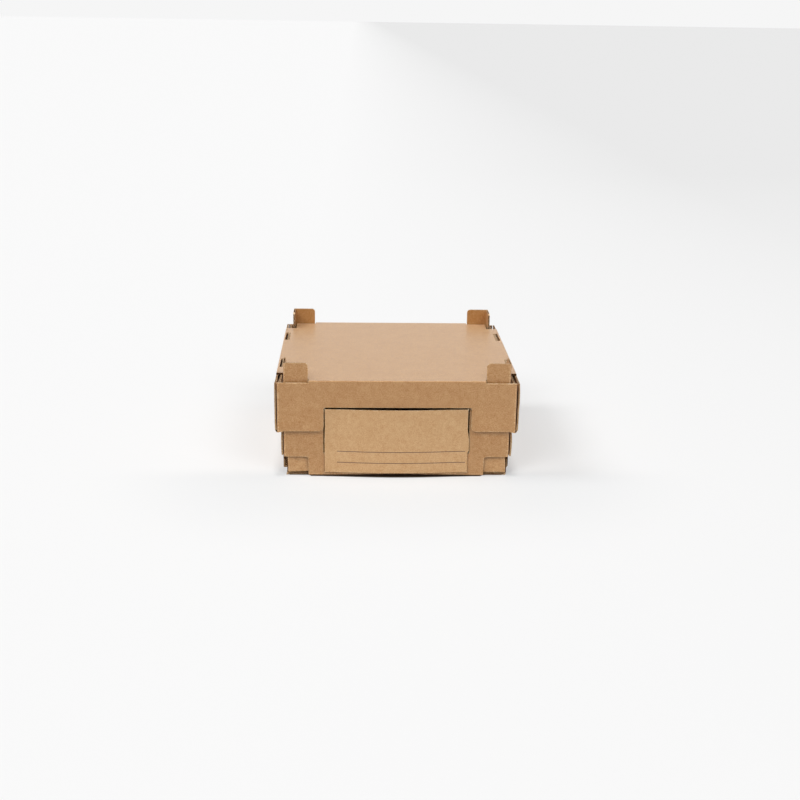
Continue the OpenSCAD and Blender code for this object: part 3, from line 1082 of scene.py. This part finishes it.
def distanceFromBox(tree, x, y):
    # how far a place on the floor lies outside the box's foot, which bows out at the front and
    # is less deep in the notches
    sideways = mathNode(tree, "ABSOLUTE", (-1300, -500), x)
    turn = mathNode(tree, "MULTIPLY", (-1300, -700), sideways, math.pi / studio["bowReach"])
    turn = mathNode(tree, "MINIMUM", (-1200, -700), turn, math.pi)
    swing = mathNode(tree, "COSINE", (-1100, -700), turn)
    swing = mathNode(tree, "ADD", (-1000, -700), swing, 1)
    bulge = mathNode(tree, "MULTIPLY", (-900, -700), swing, studio["bowDepth"] / 2)
    bulge = mathNode(tree, "ADD", (-870, -700), bulge, studio["bowStart"])
    atFront = mathNode(tree, "LESS_THAN", (-1000, -600), y, 0.0)
    bulge = mathNode(tree, "MULTIPLY", (-850, -700), bulge, atFront)
    deep = mathNode(tree, "ABSOLUTE", (-1300, -600), y)
    deep = mathNode(tree, "SUBTRACT", (-800, -600), deep, bulge)
    notch = rangeNode(tree, (-1000, -800), sideways, studio["notchEdge"], (0, studio["notchDepth"]))
    deep = mathNode(tree, "ADD", (-700, -600), deep, notch)
    outside = []
    for away, reach in zip((sideways, deep), studio["footReach"]):
        away = mathNode(tree, "SUBTRACT", (-800, -500), away, reach)
        away = mathNode(tree, "MAXIMUM", (-700, -500), away, 0.0)
        outside.append(mathNode(tree, "POWER", (-600, -500), away, 2.0))
    distance = mathNode(tree, "ADD", (-500, -500), *outside)
    return mathNode(tree, "SQRT", (-400, -500), distance)


def makeFloor():
    deselectAll()
    bpy.ops.mesh.primitive_plane_add(size=studio["floorSize"], location=(0, 0, 0))
    floor = bpy.context.object
    floor.name = "studioFloor"
    material = bpy.data.materials.new("paleFloor")
    material.use_nodes = True
    tree = material.node_tree
    shader = tree.nodes["Principled BSDF"]
    shader.inputs["Roughness"].default_value = studio["floorRoughness"]
    shader.inputs["Specular IOR Level"].default_value = 0
    coords = newNode(tree, "ShaderNodeTexCoord", (-900, 0))
    split = newNode(tree, "ShaderNodeSeparateXYZ", (-700, 0))
    tree.links.new(coords.outputs["Object"], split.inputs[0])
    x, y = split.outputs["X"], split.outputs["Y"]
    seen = seenDirectly(tree)
    distance = distanceFromBox(tree, x, y)
    soft = {"kind": "SMOOTHSTEP"}

    # painted shade: the tone that the camera sees, a little darker to the right and the back
    acrossFade = rangeNode(tree, (-500, 100), x, studio["fadeAcross"])
    backFade = rangeNode(tree, (-500, -100), y, studio["fadeBack"])
    fade = mathNode(tree, "MULTIPLY", (-400, 0), acrossFade, backFade)
    tone = mixNode(tree, (-300, 0), fade, studio["floorLeft"], studio["floorRight"])
    near = rangeNode(tree, (-300, -900), distance, studio["nearReach"], **soft)
    front = rangeNode(tree, (-300, -1100), y, studio["nearFront"], **soft)
    inFront = mathNode(tree, "MULTIPLY", (-250, -1000), near, front)
    tone = mixNode(tree, (-200, -900), inFront, tone, studio["nearTone"], "MULTIPLY")

    # the floor throws less light on the box than it shows, and is painted dark under it as painted
    # shadow
    thrown = rangeNode(
        tree, (-600, 300), distance, studio["bounceReach"], studio["bounce"], **soft)
    rest = mathNode(tree, "SUBTRACT", (-450, 300), 1.0, thrown)
    bounce = mathNode(tree, "MULTIPLY", (-400, 300), seen, rest)
    bounce = mathNode(tree, "ADD", (-300, 300), bounce, thrown)
    contact = rangeNode(
        tree, (-300, -700), distance, studio["contactReach"], studio["contactShade"], **soft)
    bounce = mathNode(tree, "MULTIPLY", (-200, 300), bounce, contact)
    edge = mathNode(tree, "SUBTRACT", (-200, -700), 1.0, contact)
    browned = mixNode(tree, (-150, -900), edge, tone, studio["contactTone"], "MULTIPLY")
    shown = vectorNode(tree, "SCALE", (-100, 200), browned, bounce)
    tree.links.new(shown, shader.inputs["Base Color"])

    # the box's own shadow stays whole close to it, and further out part of the floor glows
    glow = newNode(tree, "ShaderNodeEmission", (0, -300))
    tree.links.new(tone, glow.inputs["Color"])
    glowMask = rangeNode(tree, (-300, -500), distance, studio["glowReach"], **soft)
    share = mathNode(tree, "MULTIPLY", (0, 300), seen, studio["glow"])
    share = mathNode(tree, "MULTIPLY", (100, 300), share, glowMask)
    blend = newNode(tree, "ShaderNodeMixShader", (300, 0))
    tree.links.new(share, blend.inputs["Fac"])
    tree.links.new(shader.outputs[0], blend.inputs[1])
    tree.links.new(glow.outputs[0], blend.inputs[2])
    tree.links.new(blend.outputs[0], tree.nodes["Material Output"].inputs["Surface"])
    floor.data.materials.append(material)


def makeLight():
    # an even sky, which the camera and glossy rays see as a pale backdrop, and soft suns
    world = bpy.data.worlds.new("softRoom")
    bpy.context.scene.world = world
    world.use_nodes = True
    tree = world.node_tree
    background = tree.nodes["Background"]
    background.inputs["Color"].default_value = (1, 1, 1, 1)
    more = studio["skySeen"] - studio["skyLight"]
    extra = mathNode(tree, "MULTIPLY", (-300, 0), seenDirectly(tree), more)
    strength = mathNode(tree, "ADD", (-150, 0), extra, studio["skyLight"])
    tree.links.new(strength, background.inputs["Strength"])
    for lamp in studio["suns"]:
        sun = bpy.data.lights.new(lamp["name"], "SUN")
        sun.energy = lamp["power"]
        sun.angle = math.radians(lamp["spread"])
        holder = bpy.data.objects.new(lamp["name"], sun)
        bpy.context.collection.objects.link(holder)
        holder.rotation_euler = Vector(lamp["from"]).to_track_quat("Z", "Y").to_euler()


# fitted to the straight edges of the box in the photograph
cameraSettings = {
    "place": (-70.4 * mm, -2137.1 * mm, 743.1 * mm),
    "turn": math.radians(-2.212),
    "tilt": math.radians(90 - 17.407),
    "roll": math.radians(0.882),
    "lens": 55.59,
    "sensor": 36,
    "farthest": 100,
}


def makeCamera():
    data = bpy.data.cameras.new("camera")
    data.lens = cameraSettings["lens"]
    data.sensor_width = cameraSettings["sensor"]
    data.clip_end = cameraSettings["farthest"]
    camera = bpy.data.objects.new("camera", data)
    bpy.context.collection.objects.link(camera)
    turn = Matrix.Rotation(cameraSettings["turn"], 4, "Z")
    tilt = Matrix.Rotation(cameraSettings["tilt"], 4, "X")
    roll = Matrix.Rotation(cameraSettings["roll"], 4, "Z")
    camera.matrix_world = Matrix.Translation(cameraSettings["place"]) @ turn @ tilt @ roll
    bpy.context.scene.camera = camera


makeFloor()
makeLight()
makeCamera()
bpy.context.scene.view_settings.view_transform = "Standard"
print("stage made")

bpy.context.view_layer.update()
